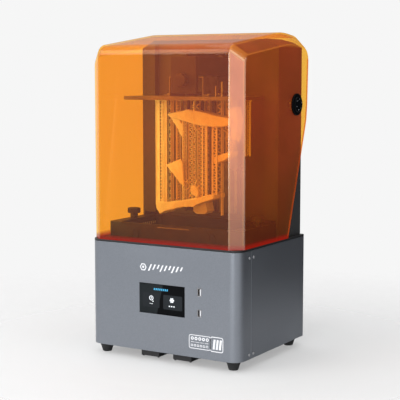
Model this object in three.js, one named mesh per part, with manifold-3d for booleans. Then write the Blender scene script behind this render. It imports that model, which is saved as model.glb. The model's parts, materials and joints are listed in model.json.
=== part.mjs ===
// A bottom-up resin printer: a sheet-metal base with the light engine, a tower with the Z axis,
// a vat over the LCD, a build platform with a half-grown print, and a hinged amber hood.
// Millimetres. +X is the printer's right, +Y its back, +Z up. The origin is on the floor under its middle.
import * as THREE from "three";
import { mergeVertices } from "three/addons/utils/BufferGeometryUtils.js";
import { ConvexGeometry } from "three/addons/geometries/ConvexGeometry.js";
import Module from "manifold-3d";

const wasm = await Module();
wasm.setup();

// ---- driving dimensions ----
const GAP = 0.3; // clearance between pieces that touch
const WIDTH = 333; // base and hood, side to side
const BASE_DEPTH = 270;
const FRONT = -139; // y of the base's and the hood's front face
const HOOD_REAR = 139; // y of the hood's rear rim
const FOOT_HEIGHT = 18;
const PANEL_TOP = 221; // z of the top of the sheet-metal base
const DECK_TOP = 225; // z of the work deck
const SHEET = 2; // panel thickness
const CORNER = 22.4; // radius of the base's front corners, and the hood's corner chamfer
const REAR_CORNER = 6;
const SEAM_Y = -92.7; // where the wrapped front panel meets the side panels
const HINGE_Y = 86;
const HINGE_Z = 484.5;
const WORK_Y = -24; // middle of the screen, the vat and the build plate
const TOWER_HALF = 156;
const TOWER_FRONT = 32;
const TOWER_TOP = 611;
const RECESS_Y = 46; // face of the tower between its two wings
const SCREW_Y = 80; // lead screw axis
const PLATE_BOTTOM = 494;
const PLATE_THICK = 7;

const HALF = WIDTH / 2;
const BASE_REAR = FRONT + BASE_DEPTH;
const PLATE_TOP = PLATE_BOTTOM + PLATE_THICK;

// ---- finishes ----
const finish = (color, roughness, metalness, opacity = 1) => ({ color, roughness, metalness, opacity });
const FINISHES = {
  painted_metal: finish(0x8b9199, 0.45, 0.35),
  black_plastic: finish(0x1b1c1e, 0.5, 0),
  black_glass: finish(0x08090c, 0.08, 0),
  tower_metal: finish(0x3c3f43, 0.5, 0.3),
  amber: finish(0xf07a1c, 0.08, 0, 0.5),
  bare_metal: finish(0xb9bcc0, 0.35, 0.9),
  dark_metal: finish(0x2b2c2f, 0.4, 0.7),
  board: finish(0x1f5a3a, 0.6, 0),
  resin: finish(0xe8c48e, 0.4, 0),
  rubber: finish(0x17181a, 0.85, 0),
  brass: finish(0xb08a3c, 0.35, 0.9),
  film: finish(0xc9ccd2, 0.2, 0, 0.4),
};

const printer = new THREE.Group();

function material(slot) {
  const { color, roughness, metalness, opacity } = FINISHES[slot];
  return new THREE.MeshStandardMaterial({ color, roughness, metalness, opacity, transparent: opacity < 1 });
}

// Adds one named piece, from a manifold solid.
function piece(name, slot, body, parent = printer) {
  const { vertProperties, triVerts } = body.getMesh();
  const geometry = new THREE.BufferGeometry();
  geometry.setAttribute("position", new THREE.BufferAttribute(new Float32Array(vertProperties), 3));
  geometry.setIndex(new THREE.BufferAttribute(new Uint32Array(triVerts), 1));
  const mesh = new THREE.Mesh(geometry, material(slot));
  mesh.name = name;
  parent.add(mesh);
  return mesh;
}

// ---- solids ----
function solid(geometry) {
  const bare = geometry.index ? geometry.toNonIndexed() : geometry;
  for (const name of Object.keys(bare.attributes)) if (name !== "position") bare.deleteAttribute(name);
  const merged = mergeVertices(bare, 1e-4);
  const vertProperties = new Float32Array(merged.attributes.position.array);
  const triVerts = new Uint32Array(merged.index.array);
  return new wasm.Manifold(new wasm.Mesh({ numProp: 3, vertProperties, triVerts }));
}

// A box between two corners.
function block([x0, x1], [y0, y1], [z0, z1]) {
  const box = new THREE.BoxGeometry(x1 - x0, y1 - y0, z1 - z0);
  return solid(box.translate((x0 + x1) / 2, (y0 + y1) / 2, (z0 + z1) / 2));
}

// A prism of a shape, drawn flat and pushed along one axis: "z" takes (x, y), "y" takes (x, z) and "x" takes
// (y, z).
function prism(shape, axis, from, to, curveSegments = 6) {
  const body = new THREE.ExtrudeGeometry(shape, { depth: to - from, bevelEnabled: false, curveSegments });
  if (axis === "y") body.rotateX(Math.PI / 2).translate(0, to, 0);
  else if (axis === "x") body.rotateZ(Math.PI / 2).rotateY(Math.PI / 2).translate(from, 0, 0);
  else body.translate(0, 0, from);
  return solid(body);
}

const polygon = (points) => new THREE.Shape(points.map(([a, b]) => new THREE.Vector2(a, b)));

// A body of revolution about a line through the given point, along +X, +Y or +Z. Rows are [radius, place],
// and they may run either way round.
function turned(rows, axis, [x, y, z], segments = 24) {
  const loop = rows.map(([r, t]) => new THREE.Vector2(r, t));
  if (THREE.ShapeUtils.area(loop) < 0) loop.reverse();
  if (loop[0].x > 0) loop.push(loop[0].clone());
  const body = new THREE.LatheGeometry(loop, segments);
  if (axis === "z") body.rotateX(Math.PI / 2);
  if (axis === "x") body.rotateZ(-Math.PI / 2);
  return solid(body.translate(x, y, z));
}

const rod = (radius, from, to, axis, place, segments = 16) =>
  turned([[0, from], [radius, from], [radius, to], [0, to]], axis, place, segments);

const join = (...bodies) => bodies.reduce((sum, body) => sum.add(body));
const cut = (body, ...tools) => tools.reduce((left, tool) => left.subtract(tool), body);
const sides = [["left", -1], ["right", 1]];

// ---- base: panels, deck and feet ----
// Footprint with round front corners, inset by t and running back to y = rear.
function footprint(t, rear, rearRadius) {
  const [x, y0] = [HALF - t, FRONT + t];
  const r = CORNER - t;
  const shape = new THREE.Shape();
  shape.moveTo(-x + r, y0).lineTo(x - r, y0).absarc(x - r, y0 + r, r, -Math.PI / 2, 0);
  if (rearRadius > 0) {
    shape.lineTo(x, rear - rearRadius).absarc(x - rearRadius, rear - rearRadius, rearRadius, 0, Math.PI / 2);
    shape.lineTo(-x + rearRadius, rear);
    shape.absarc(-x + rearRadius, rear - rearRadius, rearRadius, Math.PI / 2, Math.PI);
  } else shape.lineTo(x, rear).lineTo(-x, rear);
  shape.lineTo(-x, y0 + r).absarc(-x + r, y0 + r, r, Math.PI, 1.5 * Math.PI);
  return shape;
}

const SCREW_PLACES = [["upper_front", SEAM_Y - 8, 208], ["upper_rear", SEAM_Y + 8, 208],
  ["lower_front", SEAM_Y - 8, 27], ["lower_rear", SEAM_Y + 8, 27]];
const SEAM_SCREW_HOLE = 1.9;

function screwHoles() {
  return SCREW_PLACES.map(([, y, z]) => rod(SEAM_SCREW_HOLE, -HALF - 3, HALF + 3, "x", [0, y, z], 8));
}

const GLASS = { x: [-50.5, 50], z: [91.5, 148.5] };
const USB = { x: [78, 86.5], z: { upper: [134.2, 149.8], lower: [95.3, 109.6] } };
const grown = ([low, high], by) => [low - by, high + by];

function frontPanel() {
  const outer = prism(footprint(0, SEAM_Y, 0), "z", FOOT_HEIGHT, PANEL_TOP, 8);
  const inner = prism(footprint(SHEET, SEAM_Y + 5, 0), "z", FOOT_HEIGHT - 5, PANEL_TOP + 5, 8);
  const wall = [FRONT - 2, FRONT + 4];
  return cut(outer, inner, block(grown(GLASS.x, 0.5), wall, grown(GLASS.z, 0.5)),
    ...Object.values(USB.z).map((z) => block(grown(USB.x, GAP), wall, grown(z, GAP))), ...screwHoles());
}
piece("front_panel", "painted_metal", frontPanel());

// Each side panel turns a short flange round the rear corner.
const REAR_FLANGE = 12;
function sidePanel(side) {
  const shell = cut(prism(footprint(0, BASE_REAR, REAR_CORNER), "z", FOOT_HEIGHT, PANEL_TOP),
    prism(footprint(SHEET, BASE_REAR - SHEET, REAR_CORNER - SHEET), "z", FOOT_HEIGHT - 5, PANEL_TOP + 5));
  const keep = block([HALF - REAR_FLANGE, HALF + 1].map((x) => x * side).sort((a, b) => a - b),
    [SEAM_Y + 0.4, BASE_REAR + 1], [0, PANEL_TOP + 10]);
  return cut(shell.intersect(keep), ...screwHoles());
}
for (const [name, side] of sides) piece(`${name}_side_panel`, "painted_metal", sidePanel(side));

const INLET = { x: -104, z: 62, half: 29, tall: 12.5 };
const VENT = { count: 9, pitch: 12, width: 5, z: [70, 160], x0: 20 };
function rearPanel() {
  const reach = HALF - REAR_FLANGE - 0.4;
  const wall = [BASE_REAR - SHEET - 2, BASE_REAR + 2];
  const slots = Array.from({ length: VENT.count }, (_, i) => {
    const x = VENT.x0 + i * VENT.pitch;
    return block([x, x + VENT.width], wall, VENT.z);
  });
  const opening = block(grown([INLET.x - INLET.half, INLET.x + INLET.half], GAP + 0.2), wall,
    grown([INLET.z - INLET.tall, INLET.z + INLET.tall], GAP + 0.2));
  const plate = block([-reach, reach], [BASE_REAR - SHEET, BASE_REAR], [FOOT_HEIGHT, PANEL_TOP]);
  return cut(plate, opening, ...slots);
}
piece("rear_panel", "painted_metal", rearPanel());

const FAN = { size: 40, depth: 12, centres: { left: -33.5, right: 38.5 }, y: -109, bore: 18.3 };
const MOTOR = { half: 21, bottom: 130, top: 172 };
function bottomPlate() {
  const inset = SHEET + GAP;
  const floor = prism(footprint(inset, BASE_REAR - inset, 3), "z", FOOT_HEIGHT, FOOT_HEIGHT + SHEET);
  const ducts = Object.values(FAN.centres).map((x) => rod(FAN.bore, 10, 30, "z", [x, FAN.y, 0], 24));
  const [wide, leg] = [MOTOR.half + 3, 3];
  const stand = cut(
    block([-wide, wide], [SCREW_Y - 20, SCREW_Y + 20], [FOOT_HEIGHT + 1, MOTOR.bottom - GAP]),
    block([-wide + leg, wide - leg], [SCREW_Y - 30, SCREW_Y + 30], [FOOT_HEIGHT + SHEET, MOTOR.bottom - 4]));
  return join(cut(floor, ...ducts), stand);
}
piece("bottom_plate", "dark_metal", bottomPlate());

const LCD = { half: 120, deep: 70, thick: 2, ledge: 5 };
const KNOB_X = 141; // vat thumb screws
const KNOB_SHANK = 3;
function deckPlate() {
  const plate = prism(footprint(0, BASE_REAR, REAR_CORNER), "z", PANEL_TOP + GAP, DECK_TOP, 8);
  const seat = (grow, z) => block([-LCD.half - grow, LCD.half + grow],
    [WORK_Y - LCD.deep - grow, WORK_Y + LCD.deep + grow], z);
  const through = (radius, x, y, segments) => rod(radius, PANEL_TOP, DECK_TOP + 1, "z", [x, y, 0], segments);
  return cut(plate, seat(GAP, [DECK_TOP - LCD.thick - GAP, DECK_TOP + 1]),
    seat(-LCD.ledge, [PANEL_TOP, DECK_TOP]), through(13, 0, SCREW_Y, 20),
    ...sides.map(([, side]) => through(KNOB_SHANK + 0.4, side * KNOB_X, WORK_Y, 12)));
}
piece("deck_plate", "black_plastic", deckPlate());

const FOOT = { top: 13.5, bottom: 9, x: 143, y: { front: -117, rear: 109 } };
for (const [name, side] of sides) {
  for (const [end, y] of Object.entries(FOOT.y)) {
    const profile = [[0, 0], [FOOT.bottom - 0.8, 0], [FOOT.bottom, 0.8], [FOOT.top, FOOT_HEIGHT - 3.5],
      [FOOT.top, FOOT_HEIGHT - GAP], [0, FOOT_HEIGHT - GAP]];
    piece(`foot_${end}_${name}`, "rubber", turned(profile, "z", [side * FOOT.x, y, 0], 20));
  }
  // The screws on both sides of the seam: a pan head outside the sheet and a shank through it.
  for (const [place, y, z] of SCREW_PLACES) {
    const out = (x) => side * (HALF + x);
    const rows = [[0, out(-8)], [1.5, out(-8)], [1.5, out(GAP)], [2.8, out(GAP)], [2.4, out(1.5)],
      [0, out(1.5)]];
    piece(`${name}_screw_${place}`, "bare_metal", turned(rows, "x", [0, y, z], 10));
  }
}

// ---- base: front controls ----
piece("touch_screen_glass", "black_glass", block(GLASS.x, [FRONT + 0.1, FRONT + 1.7], GLASS.z));
piece("display_module", "dark_metal",
  block(grown(GLASS.x, 5), [FRONT + SHEET + GAP, FRONT + 12], grown(GLASS.z, 4)));

function usbPort(z) {
  const [x0, x1] = USB.x;
  const middle = (x0 + x1) / 2;
  const front = FRONT + 0.2;
  const shell = cut(block(USB.x, [front, front + 17], z),
    block(grown(USB.x, -0.9), [front - 1, front + 12], grown(z, -0.9)));
  return join(shell, block([middle + 0.6, middle + 2.2], [front + 1.5, front + 13], grown(z, -1.8)));
}
for (const [name, z] of Object.entries(USB.z)) piece(`usb_port_${name}`, "bare_metal", usbPort(z));

// ---- base: fans underneath ----
function fanFrame(x) {
  const top = FOOT_HEIGHT - GAP;
  const half = FAN.size / 2;
  const [y, low] = [FAN.y, top - FAN.depth];
  const ring = cut(block([x - half, x + half], [y - half, y + half], [low, top]),
    rod(FAN.bore, low - 1, top + 1, "z", [x, y, 0], 24));
  const struts = [0, 1, 2].map((i) => {
    const strut = block([0, FAN.bore + 1], [-1.2, 1.2], [top - 1.6, top]);
    return strut.rotate([0, 0, 30 + 120 * i]).translate([x, y, 0]);
  });
  const posts = [-1, 1].flatMap((a) => [-1, 1].map((b) =>
    rod(2.2, low - 1.6, low + 1, "z", [x + a * (half - 3), y + b * (half - 3), 0], 8)));
  return join(ring, rod(9.5, top - 1.6, top, "z", [x, y, 0], 16), ...struts, ...posts);
}

function fanRotor(x) {
  const top = FOOT_HEIGHT - GAP - 2;
  const low = FOOT_HEIGHT - FAN.depth + 0.7;
  const blade = prism(polygon([[8, -1.2], [8, 1.2], [17.2, 4.2], [17.4, 1.4]]), "z", low + 1, top - 0.8);
  const blades = Array.from({ length: 7 }, (_, i) => blade.rotate([0, 0, (360 / 7) * i]));
  return join(rod(9.5, low, top, "z", [0, 0, 0], 20), ...blades).translate([x, FAN.y, 0]);
}
for (const [name, x] of Object.entries(FAN.centres)) {
  piece(`fan_frame_${name}`, "black_plastic", fanFrame(x));
  piece(`fan_rotor_${name}`, "black_plastic", fanRotor(x));
}

// ---- base: power inlet with its rocker switch, at the back ----
const ROCKER = { x: INLET.x + 17, y: BASE_REAR - 4, tilt: 7, halfWide: 6.2 };
function powerInlet() {
  const { x, z, half, tall } = INLET;
  const body = join(block([x - half, x + half], [BASE_REAR - 30, BASE_REAR + 1], [z - tall, z + tall]),
    block([x - half - 3, x + half + 3], [BASE_REAR + GAP, BASE_REAR + 2.8], [z - tall - 3, z + tall + 3]));
  const out = BASE_REAR + 5;
  const socketX = x - 12;
  const outline = [[-12, -8], [12, -8], [12, 4], [8, 8], [-8, 8], [-12, 4]];
  const socket = prism(polygon(outline), "y", BASE_REAR - 18, out);
  const wellX = grown([ROCKER.x, ROCKER.x], ROCKER.halfWide + 0.5);
  const well = block(wellX, [BASE_REAR - 14, out], [z - 10.8, z + 10.8]);
  const prongs = [[-7, -1], [0, 2.5], [7, -1]].map(([dx, dz]) => {
    const x = socketX + dx;
    return block(grown([x, x], 1), [BASE_REAR - 19, BASE_REAR - 4], grown([z + dz, z + dz], 2));
  });
  return join(cut(body, socket.translate([socketX, 0, z]), well), ...prongs);
}
piece("power_inlet", "black_plastic", powerInlet());

function rocker() {
  const face = polygon([[-3, -8.4], [6.8, -9], [5.6, 0], [6.8, 9], [-3, 8.4]]);
  const body = prism(face, "x", -ROCKER.halfWide, ROCKER.halfWide);
  return body.rotate([-ROCKER.tilt, 0, 0]).translate([ROCKER.x, ROCKER.y, INLET.z]);
}
piece("power_switch_rocker", "black_plastic", rocker());

// ---- base: light engine and electronics ----
const around = (half, y0, y1) => [[-half, half], [y0, y1]];
const deckRect = (halfX, halfY) => around(halfX, WORK_Y - halfY, WORK_Y + halfY);
piece("lcd_panel", "black_glass", block(...deckRect(LCD.half, LCD.deep), [DECK_TOP - LCD.thick, DECK_TOP]));
const BOX = { half: 118, deep: 68, bottom: 76, top: 212 };
piece("light_box", "dark_metal", cut(block(...deckRect(BOX.half, BOX.deep), [BOX.bottom, BOX.top]),
  block(...deckRect(BOX.half - 3, BOX.deep - 3), [BOX.bottom + 3, BOX.top + 1]),
  block(...deckRect(62, 36), [BOX.bottom - 1, BOX.bottom + 5])));
piece("collimating_lens", "film", block(...deckRect(BOX.half, BOX.deep), [BOX.top + GAP, BOX.top + 4]));
piece("led_board", "board", block(...deckRect(60, 34), [BOX.bottom - 3, BOX.bottom - GAP]));
function heatSink() {
  const [low, high] = [FOOT_HEIGHT + SHEET + GAP, BOX.bottom - 3 - GAP];
  const grooves = Array.from({ length: 7 }, (_, i) => block([-52 + i * 15, -43 + i * 15],
    [WORK_Y - 40, WORK_Y + 40], [low - 1, high - 8]));
  return cut(block(...deckRect(58, 32), [low, high]), ...grooves);
}
piece("led_heat_sink", "bare_metal", heatSink());

const FLOOR = FOOT_HEIGHT + SHEET + GAP;
function mainBoard() {
  const posts = [[72, 24], [72, 116], [150, 24], [150, 116]].map(([x, y]) =>
    rod(3, FLOOR, 33, "z", [x, y, 0], 8));
  const chips = [[[84, 104], [40, 60]], [[112, 140], [80, 108]], [[120, 136], [30, 46]]].map(([x, y]) =>
    block(x, y, [34, 38]));
  return join(block([66, 156], [18, 122], [32, 34.4]), ...posts, ...chips);
}
piece("main_board", "board", mainBoard());
piece("power_supply", "bare_metal", block([-158, -62], [-60, 88], [FLOOR, 58]));

// ---- tower ----
const BAY = { half: 152, rear: 54, top: 262 }; // where the back of the vat tucks into the tower's foot
const WALL = 2;
const SHOULDER = { across: 30, drop: 16 }; // bevel along the tower's upper side edges
const REAR_SLOPE = { along: 30, drop: 6 };
const HOLLOW_TOP = TOWER_TOP - 20;
const RECESS_HALF = 126;
function towerHousing() {
  const profile = polygon([[TOWER_FRONT, DECK_TOP + GAP], [BASE_REAR, DECK_TOP + GAP],
    [BASE_REAR, TOWER_TOP - REAR_SLOPE.drop], [BASE_REAR - REAR_SLOPE.along, TOWER_TOP],
    [TOWER_FRONT, TOWER_TOP]]);
  const slope = SHOULDER.drop / SHOULDER.across;
  const [near, far, over] = [TOWER_HALF - SHOULDER.across, TOWER_HALF + 1, TOWER_TOP + 0.01];
  const foot = TOWER_TOP - SHOULDER.drop - slope;
  const shoulder = (side) =>
    prism(polygon([[side * near, over], [side * far, over], [side * far, foot]]), "y", 0, 200);
  const low = DECK_TOP - 2;
  const inside = [low, HOLLOW_TOP];
  const wing = (side) => {
    const x = [side * (RECESS_HALF + WALL), side * (TOWER_HALF - WALL)].sort((a, b) => a - b);
    return block(x, [TOWER_FRONT + WALL, RECESS_Y + WALL + 1], inside);
  };
  const hollow = join(wing(-1), wing(1),
    block([-TOWER_HALF + WALL, TOWER_HALF - WALL], [RECESS_Y + WALL, BASE_REAR + 2], inside));
  const pocket = block([-TOWER_HALF + SHOULDER.across, TOWER_HALF - SHOULDER.across],
    [RECESS_Y + WALL, BASE_REAR - 8], [HOLLOW_TOP - 1, TOWER_TOP - 8]); // lightens the top
  const liner = block([-TOWER_HALF, TOWER_HALF], [0, BAY.rear + 2], [low - 1, BAY.top + 2]);
  return cut(prism(profile, "x", -TOWER_HALF, TOWER_HALF), shoulder(-1), shoulder(1),
    block([-RECESS_HALF, RECESS_HALF], [0, RECESS_Y], [low, TOWER_TOP + 2]), cut(hollow, liner), pocket,
    block([-BAY.half, BAY.half], [0, BAY.rear], [low, BAY.top]), // vat bay
    block([-58, 58], [RECESS_Y - 2, RECESS_Y + WALL + 2], [268, 584]), // slot for the arm
    rod(7.3, -TOWER_HALF - 2, TOWER_HALF + 2, "x", [0, HINGE_Y, HINGE_Z], 20));
}
piece("tower_housing", "tower_metal", towerHousing());

function rearCover() {
  const reach = TOWER_HALF - WALL - GAP;
  const slots = [0, 1, 2, 3, 4].map((i) => block([-60, 60], [120, 140], [300 + i * 14, 305 + i * 14]));
  const z = [DECK_TOP + GAP, HOLLOW_TOP - GAP];
  return cut(block([-reach, reach], [BASE_REAR - WALL, BASE_REAR], z), ...slots);
}
piece("tower_rear_cover", "tower_metal", rearCover());

// ---- Z axis ----
const COLUMN_Y = 104;
piece("z_column", "bare_metal", join(block([-50, 50], [COLUMN_Y, COLUMN_Y + 8], [DECK_TOP + GAP, 580]),
  block([-60, 60], [98, 124], [DECK_TOP + GAP, 233])));
const RAIL = { x: 32, half: 6, deep: 12 };
for (const [name, side] of sides) {
  const [a, b, y0] = [RAIL.half, RAIL.half - 2, COLUMN_Y - GAP];
  const half = [[a, 0], [a, -3], [b, -5], [b, -7], [a, -9], [a, -RAIL.deep]];
  const outline = [...half, ...half.map(([x, y]) => [-x, y]).reverse()].reverse();
  const shape = polygon(outline.map(([x, y]) => [x + side * RAIL.x, y + y0]));
  piece(`rail_${name}`, "bare_metal", prism(shape, "z", 236, 578));
}
const onScrew = [0, SCREW_Y, 0];
piece("z_motor", "dark_metal", join(rod(4, MOTOR.top - 1, 187, "z", onScrew, 12),
  block([-MOTOR.half, MOTOR.half], grown([SCREW_Y, SCREW_Y], MOTOR.half), [MOTOR.bottom, MOTOR.top])));
piece("shaft_coupling", "bare_metal",
  turned([[4.4, 176], [9.5, 176], [9.5, 200], [4.4, 200]], "z", onScrew, 20));
piece("lead_screw", "bare_metal", rod(4, 188, 584, "z", onScrew, 16));
piece("screw_top_bearing", "dark_metal", cut(block([-16, 16], [66, COLUMN_Y - GAP], [580.5, 584.5]),
  rod(4.4, 570, 595, "z", [0, SCREW_Y, 0], 16)));

// ---- platform: carriage, nut, arm, bracket, plate and print ----
const CARRIAGE = { half: 46, y: [66, 99], z: [505, 568] };
function zCarriage() {
  const grooves = sides.map(([, side]) => {
    const x = [side * RAIL.x - RAIL.half - 0.5, side * RAIL.x + RAIL.half + 0.5];
    return block(x, [COLUMN_Y - GAP - RAIL.deep - 0.5, COLUMN_Y], [490, 580]);
  });
  return cut(block([-CARRIAGE.half, CARRIAGE.half], CARRIAGE.y, CARRIAGE.z), ...grooves,
    rod(10, 490, 580, "z", [0, SCREW_Y, 0], 16));
}
piece("z_carriage", "dark_metal", zCarriage());
piece("lead_nut", "brass", turned([[4.4, 500], [13, 500], [13, 504.7], [9.6, 504.7], [9.6, 530], [4.4, 530]],
  "z", [0, SCREW_Y, 0], 20));

const ARM = { half: 28, front: -62, z: [541, 577] };
function platformArm() {
  const beam = block([-ARM.half, ARM.half], [ARM.front, CARRIAGE.y[0] - GAP], ARM.z);
  const lip = block([-ARM.half, ARM.half], [ARM.front, ARM.front + 10], [506, ARM.z[0] + 1]);
  const mount = block([-44, 44], [58, CARRIAGE.y[0] - GAP], [508, 568]);
  const gusset = prism(polygon([[58.5, 530], [58.5, 542], [30, 542]]), "x", -8, 8);
  return cut(join(beam, lip, mount, gusset), rod(3.6, ARM.front - 1, ARM.front + 11, "y", [0, 0, 532], 12));
}
piece("platform_arm", "tower_metal", platformArm());

const BRACKET = { half: 38.5, sheet: 2.5, foot: 51, y: [-51.7, 3], top: 538.5 };
function plateBracket() {
  const { half, sheet, foot, y, top } = BRACKET;
  const low = PLATE_TOP + GAP;
  const right = [[half - sheet, top - sheet], [half - sheet, low], [foot, low], [foot, low + 3],
    [half, low + 3], [half, top]];
  const outline = [...right, ...right.map(([x, z]) => [-x, z]).reverse()];
  return prism(polygon(outline), "y", ...y);
}
piece("plate_bracket", "bare_metal", plateBracket());

const PLATE = { half: 121, y: [-86, 38] };
function buildPlate() {
  const side = (x) => [[-PLATE.half + x, PLATE_BOTTOM + 1 - x], [PLATE.half - x, PLATE_BOTTOM + 1 - x]];
  const outline = [...side(1), side(0)[1], [PLATE.half, PLATE_TOP], [-PLATE.half, PLATE_TOP], side(0)[0]];
  return prism(polygon(outline), "y", ...PLATE.y);
}
piece("build_plate", "bare_metal", buildPlate());

// The clamp screw's knob on the front of the arm, and its shank through the arm's lip.
function clampKnob() {
  const lobes = Array.from({ length: 8 }, (_, i) => {
    const turn = (i * Math.PI) / 4;
    return rod(2.2, -75.5, -64, "y", [13.6 * Math.cos(turn), 0, 13.6 * Math.sin(turn)], 8);
  });
  const rows = [[0, -77], [11, -77], [13.5, -75], [13.5, -65], [6, -62.3], [3.2, -62.3], [3.2, -53],
    [0, -53]];
  const knob = turned(rows, "y", [0, 0, 0], 24);
  return join(cut(knob, ...lobes)).translate([0, 0, 532]);
}
piece("plate_clamp_knob", "black_plastic", clampKnob());

// A print part-grown on its supports: a leaning slab at the front left, a raised limb and a lower lobe, held
// by rows of columns that hang from the plate.
function resinPrint() {
  const top = PLATE_BOTTOM - GAP;
  const slabTop = (x) => (x < -34 ? 303 : 302 + 0.22 * (x + 34));
  const slab = prism(polygon([[-66, 290], [-52, 271], [-34, 282], [40, 302], [66, 316], [66, 324],
    [-34, 302], [-66, 306]]), "y", -60, -10);
  const columns = [-62, -44, -26, -8, 10, 28, 46, 62].flatMap((x) => [-56, -35, -14].map((y) =>
    block(grown([x, x], 3.5), grown([y, y], 3.5), [slabTop(x) - 3, top])));
  const lone = block([106, 116], [-12, -2], [392, top]);
  const limb = prism(polygon([[-36, 470], [20, 462], [112, 440], [112, 424], [20, 440], [-30, 452]]), "y",
    -46, -4);
  const lobe = block([26, 50], [-40, -14], [286, 312]);
  return join(slab, ...columns, lone, limb, lobe);
}
piece("resin_print", "resin", resinPrint());

// ---- vat ----
const VAT = { half: 150, deep: 74, top: 255.5, inner: 128, innerDeep: 69, floor: 229.5 };
const onKnob = (side) => [side * KNOB_X, WORK_Y, 0];
function vatBody() {
  const low = DECK_TOP + GAP;
  const rounded = (halfX, halfY, r) => {
    const shape = new THREE.Shape();
    [[1, 1], [-1, 1], [-1, -1], [1, -1]].forEach(([a, b], i) =>
      shape.absarc(a * (halfX - r), WORK_Y + b * (halfY - r), r, (i * Math.PI) / 2,
        ((i + 1) * Math.PI) / 2));
    return shape;
  };
  return cut(prism(rounded(VAT.half, VAT.deep, 6), "z", low, VAT.top, 4),
    prism(rounded(VAT.inner, VAT.innerDeep, 10), "z", VAT.floor, VAT.top + 1, 4),
    block(...deckRect(124, 65), [low - 1, VAT.floor + 1]),
    block(...deckRect(127, 68), [low - 1, low + 2]),
    ...sides.map(([, side]) => rod(KNOB_SHANK + 0.4, low - 1, VAT.top + 1, "z", onKnob(side), 12)));
}
piece("vat", "dark_metal", vatBody());
const FILM_Z = [DECK_TOP + GAP + 0.9, DECK_TOP + GAP + 1.7];
piece("release_film", "film", block(...deckRect(126.6, 67.6), FILM_Z));
for (const [name, side] of sides) {
  const rows = [[0, 222], [KNOB_SHANK, 222], [KNOB_SHANK, VAT.top + GAP], [7.7, VAT.top + GAP], [7.7, 265],
    [13, 266], [13, 274], [12, 275], [0, 275]];
  piece(`vat_knob_${name}`, "black_plastic", turned(rows, "z", onKnob(side), 24));
}

// ---- hood ----
// The outside of the hood is a convex form: a front wall, a roof that rises to a ridge, and chamfers along
// the front corners and the roof's sides. The hood is open below and behind, where the tower stands.
const HOOD = { bottom: DECK_TOP + GAP, wall: 3, drop: 23, setback: 20, crease: 596.6, slope: 0.137,
  round: 22, ridge: 68, rearRound: 24 };
// The rear edge of the side walls, as (y, z).
const HOOD_SIDE_REAR = [[139, 566], [136, 483], [132.5, 453], [126.5, 433.5]];
const HOOD_SIDE_FOOT = 57; // y of the side walls' rear corner on the deck

const roof = (y) => {
  const rise = HOOD.crease + HOOD.slope * (y - FRONT);
  const fall = HOOD.crease + HOOD.slope * (HOOD.ridge - FRONT) - 0.125 * (y - HOOD.ridge);
  return Math.min(rise, fall) - Math.max(0, 1.6 - Math.abs(y - HOOD.ridge) * 0.1);
};

// One lengthwise ring of the form, at a share f of the way across the chamfer.
function hoodRing(x, f, { wall, drop, setback }, back) {
  const y0 = FRONT + wall + setback * f;
  const lower = wall * 1.01 + drop * f;
  const turn = Math.PI / 2 - Math.atan(HOOD.slope);
  const radius = HOOD.round - wall;
  const corner = roof(y0) - lower;
  const tangent = radius * Math.tan(turn / 2);
  const points = [];
  for (let i = 0; i <= 6; i += 1) {
    const a = (turn * i) / 6;
    points.push([y0 + radius - radius * Math.cos(a), corner - tangent + radius * Math.sin(a)]);
  }
  for (const y of [48, 60, 68, 76, 88]) points.push([y, roof(y) - lower]);
  points.push(...back(lower), [y0, HOOD.bottom - (wall > 0 ? 20 : 0)]);
  return points.flatMap(([y, z]) => [new THREE.Vector3(x, y, z), new THREE.Vector3(-x, y, z)]);
}

// Across the chamfer from the flat face (0) to the side wall (1), with both edges rounded off.
const CHAMFER_STEPS = [[-0.14, 0], [-0.04, 0.015], [0.08, 0.08], [0.92, 0.92], [1, 1.04], [1, 1.14]];

function hoodForm(size, back) {
  const points = CHAMFER_STEPS.flatMap(([across, f]) =>
    hoodRing(size.inner + across * (size.outer - size.inner), Math.max(0, f), size, back));
  return solid(new ConvexGeometry(points));
}

function amberHood() {
  const outside = { inner: HALF - CORNER, outer: HALF, wall: 0, drop: HOOD.drop, setback: HOOD.setback };
  const inside = { inner: HALF - CORNER - 1.24, outer: HALF - HOOD.wall, wall: HOOD.wall,
    drop: HOOD.drop - HOOD.wall + 1.24, setback: HOOD.setback - HOOD.wall + 1.24 };
  const rearEdge = (lower) => {
    const start = HOOD_REAR - HOOD.rearRound; // where the roof begins to round over
    const over = Array.from({ length: 6 }, (_, i) => {
      const a = Math.atan(0.125) + (i / 5) * (Math.PI / 2 - Math.atan(0.125));
      const fall = HOOD.rearRound * (1 - Math.cos(a));
      return [start + HOOD.rearRound * Math.sin(a), roof(start) - lower - fall];
    });
    return [...over, ...HOOD_SIDE_REAR, [HOOD_SIDE_FOOT, HOOD.bottom]];
  };
  const pastRear = (lower) => [[220, roof(220) - lower], [220, HOOD.bottom - 20]];
  return cut(hoodForm(outside, rearEdge), hoodForm(inside, pastRear),
    rod(7.3, -HALF - 5, HALF + 5, "x", [0, HINGE_Y, HINGE_Z], 20));
}
piece("amber_hood", "amber", amberHood());

// ---- hood hinges: a pin with a spacer collar in the tower's side, and a round cap on the hood ----
for (const [name, side] of sides) {
  const rows = [[0, 149], [7, 149], [7, TOWER_HALF + GAP], [11, TOWER_HALF + GAP], [11, 163.2], [7, 163.2],
    [7, 168.4], [0, 168.4]];
  const cap = [[0, 169.2], [8, 169.2], [8, HALF + GAP], [21.5, HALF + GAP], [21.5, 169.5], [19.5, 171.5],
    [15, 171.8], [14, 173.3], [0, 173.6]];
  const place = (list) => turned(list.map(([r, x]) => [r, side * x]), "x", [0, HINGE_Y, HINGE_Z], 24);
  piece(`hinge_pin_${name}`, "bare_metal", place(rows));
  piece(`hinge_cap_${name}`, "black_plastic", place(cap));
}

export default printer;
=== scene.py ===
"""Looks for the resin printer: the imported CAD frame, dressed with finer pieces and procedural materials."""

import json
import math
import random

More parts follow.
